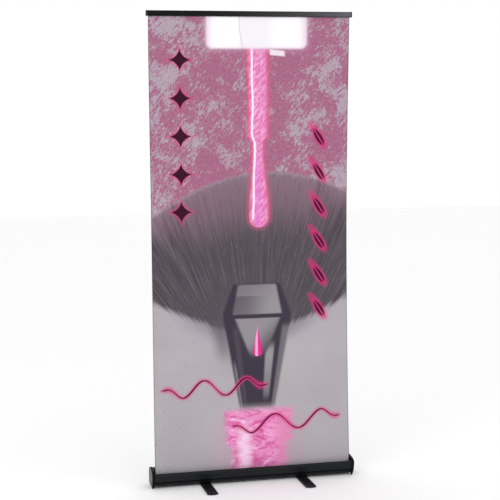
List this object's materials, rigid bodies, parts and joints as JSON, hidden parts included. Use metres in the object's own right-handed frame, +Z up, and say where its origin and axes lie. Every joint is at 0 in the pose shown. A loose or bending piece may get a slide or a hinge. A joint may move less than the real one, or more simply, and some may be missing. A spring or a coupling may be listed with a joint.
{
  "type": "roll-up banner stand",
  "caption": "Floor-standing roll-up banner: film pulled up out of a spring roller base, held by a top rail on a sectional pole, with two swivel feet.",
  "frame": {"origin": "on the floor, midway between the two foot pivots, under the middle of the base", "axes": "+Z up along the banner, +X to the right seen from the printed side, the printed side faces -Y"},
  "size_m": [0.881, 0.3592, 1.9815],
  "materials": {
    "housing": "black anodised, satin",
    "cap_plastic": "moulded, fine texture",
    "black_plastic": "moulded",
    "pad_rubber": "matte",
    "steel": "zinc plated",
    "nylon": "natural nylon",
    "tube_aluminium": "mill finish",
    "film": "printed polyester film, satin front and grey back",
    "pole": "satin anodised",
    "elastic": "braided",
    "rail": "black anodised, satin",
    "rail_cap": "moulded",
    "grip": "extruded PVC",
    "foot": "black, satin"
  },
  "bodies": {
    "base": {"base_housing": "housing", "end_cap_left": "cap_plastic", "end_cap_right": "cap_plastic", "floor_pad_left": "pad_rubber", "floor_pad_right": "pad_rubber", "cap_screws_left": "steel", "cap_screws_right": "steel", "foot_bolt_left": "steel", "foot_bolt_right": "steel", "foot_washers": "nylon", "foot_nuts": "steel", "roller_bush": "nylon", "shaft_holder": "nylon", "spring_shaft": "steel", "spring_anchor": "nylon", "tension_lock_pin": "steel", "torsion_spring": "steel", "pole_socket": "black_plastic", "socket_screws": "steel"},
    "foot_left": {"foot_left": "foot"},
    "foot_right": {"foot_right": "foot"},
    "roller": {"roller_tube": "tube_aluminium", "banner_wraps": "film", "roller_plug_left": "black_plastic", "roller_plug_right": "black_plastic", "roller_pin": "steel", "spring_drive_plug": "nylon"},
    "pole_lower": {"pole_lower": "pole", "pole_foot_plug": "black_plastic", "pole_ferrule_lower": "steel", "pole_cord": "elastic"},
    "pole_middle": {"pole_middle": "pole", "pole_ferrule_upper": "steel"},
    "pole_upper": {"pole_upper": "pole", "pole_head": "black_plastic"},
    "rail": {"top_rail": "rail", "rail_end_cap_left": "rail_cap", "rail_end_cap_right": "rail_cap", "grip_strip": "grip", "banner_film": "film"}
  },
  "joints": [
    {"name": "foot_left_swivel", "type": "hinge", "parent": "base", "child": "foot_left", "pos_m": [-0.21, 0, 0.005], "axis": [0, 0, 1], "range_deg": [-1, 89]},
    {"name": "foot_right_swivel", "type": "hinge", "parent": "base", "child": "foot_right", "pos_m": [0.21, 0, 0.005], "axis": [0, 0, 1], "range_deg": [-1, 89]},
    {"name": "pole_lift", "type": "slide", "parent": "base", "child": "pole_lower", "axis": [0, 0, 1], "range_m": [0, 0.04]},
    {"name": "pole_middle_pull", "type": "slide", "parent": "pole_lower", "child": "pole_middle", "axis": [0, 0, 1], "range_m": [0, 0.038]},
    {"name": "pole_upper_pull", "type": "slide", "parent": "pole_middle", "child": "pole_upper", "axis": [0, 0, 1], "range_m": [0, 0.038]},
    {"name": "banner_retract", "type": "slide", "parent": "pole_upper", "child": "rail", "axis": [0, 0, 1], "range_m": [-1.88, 0], "deforming": ["banner_film"]},
    {"name": "roller_spin", "type": "hinge", "parent": "base", "child": "roller", "pos_m": [0, -0.0002, 0.038], "axis": [1, 0, 0], "range_deg": [0, 6520]}
  ],
  "couplings": [
    {"joint": "roller_spin", "follows": "banner_retract", "rad_per_m": -60.5}
  ]
}
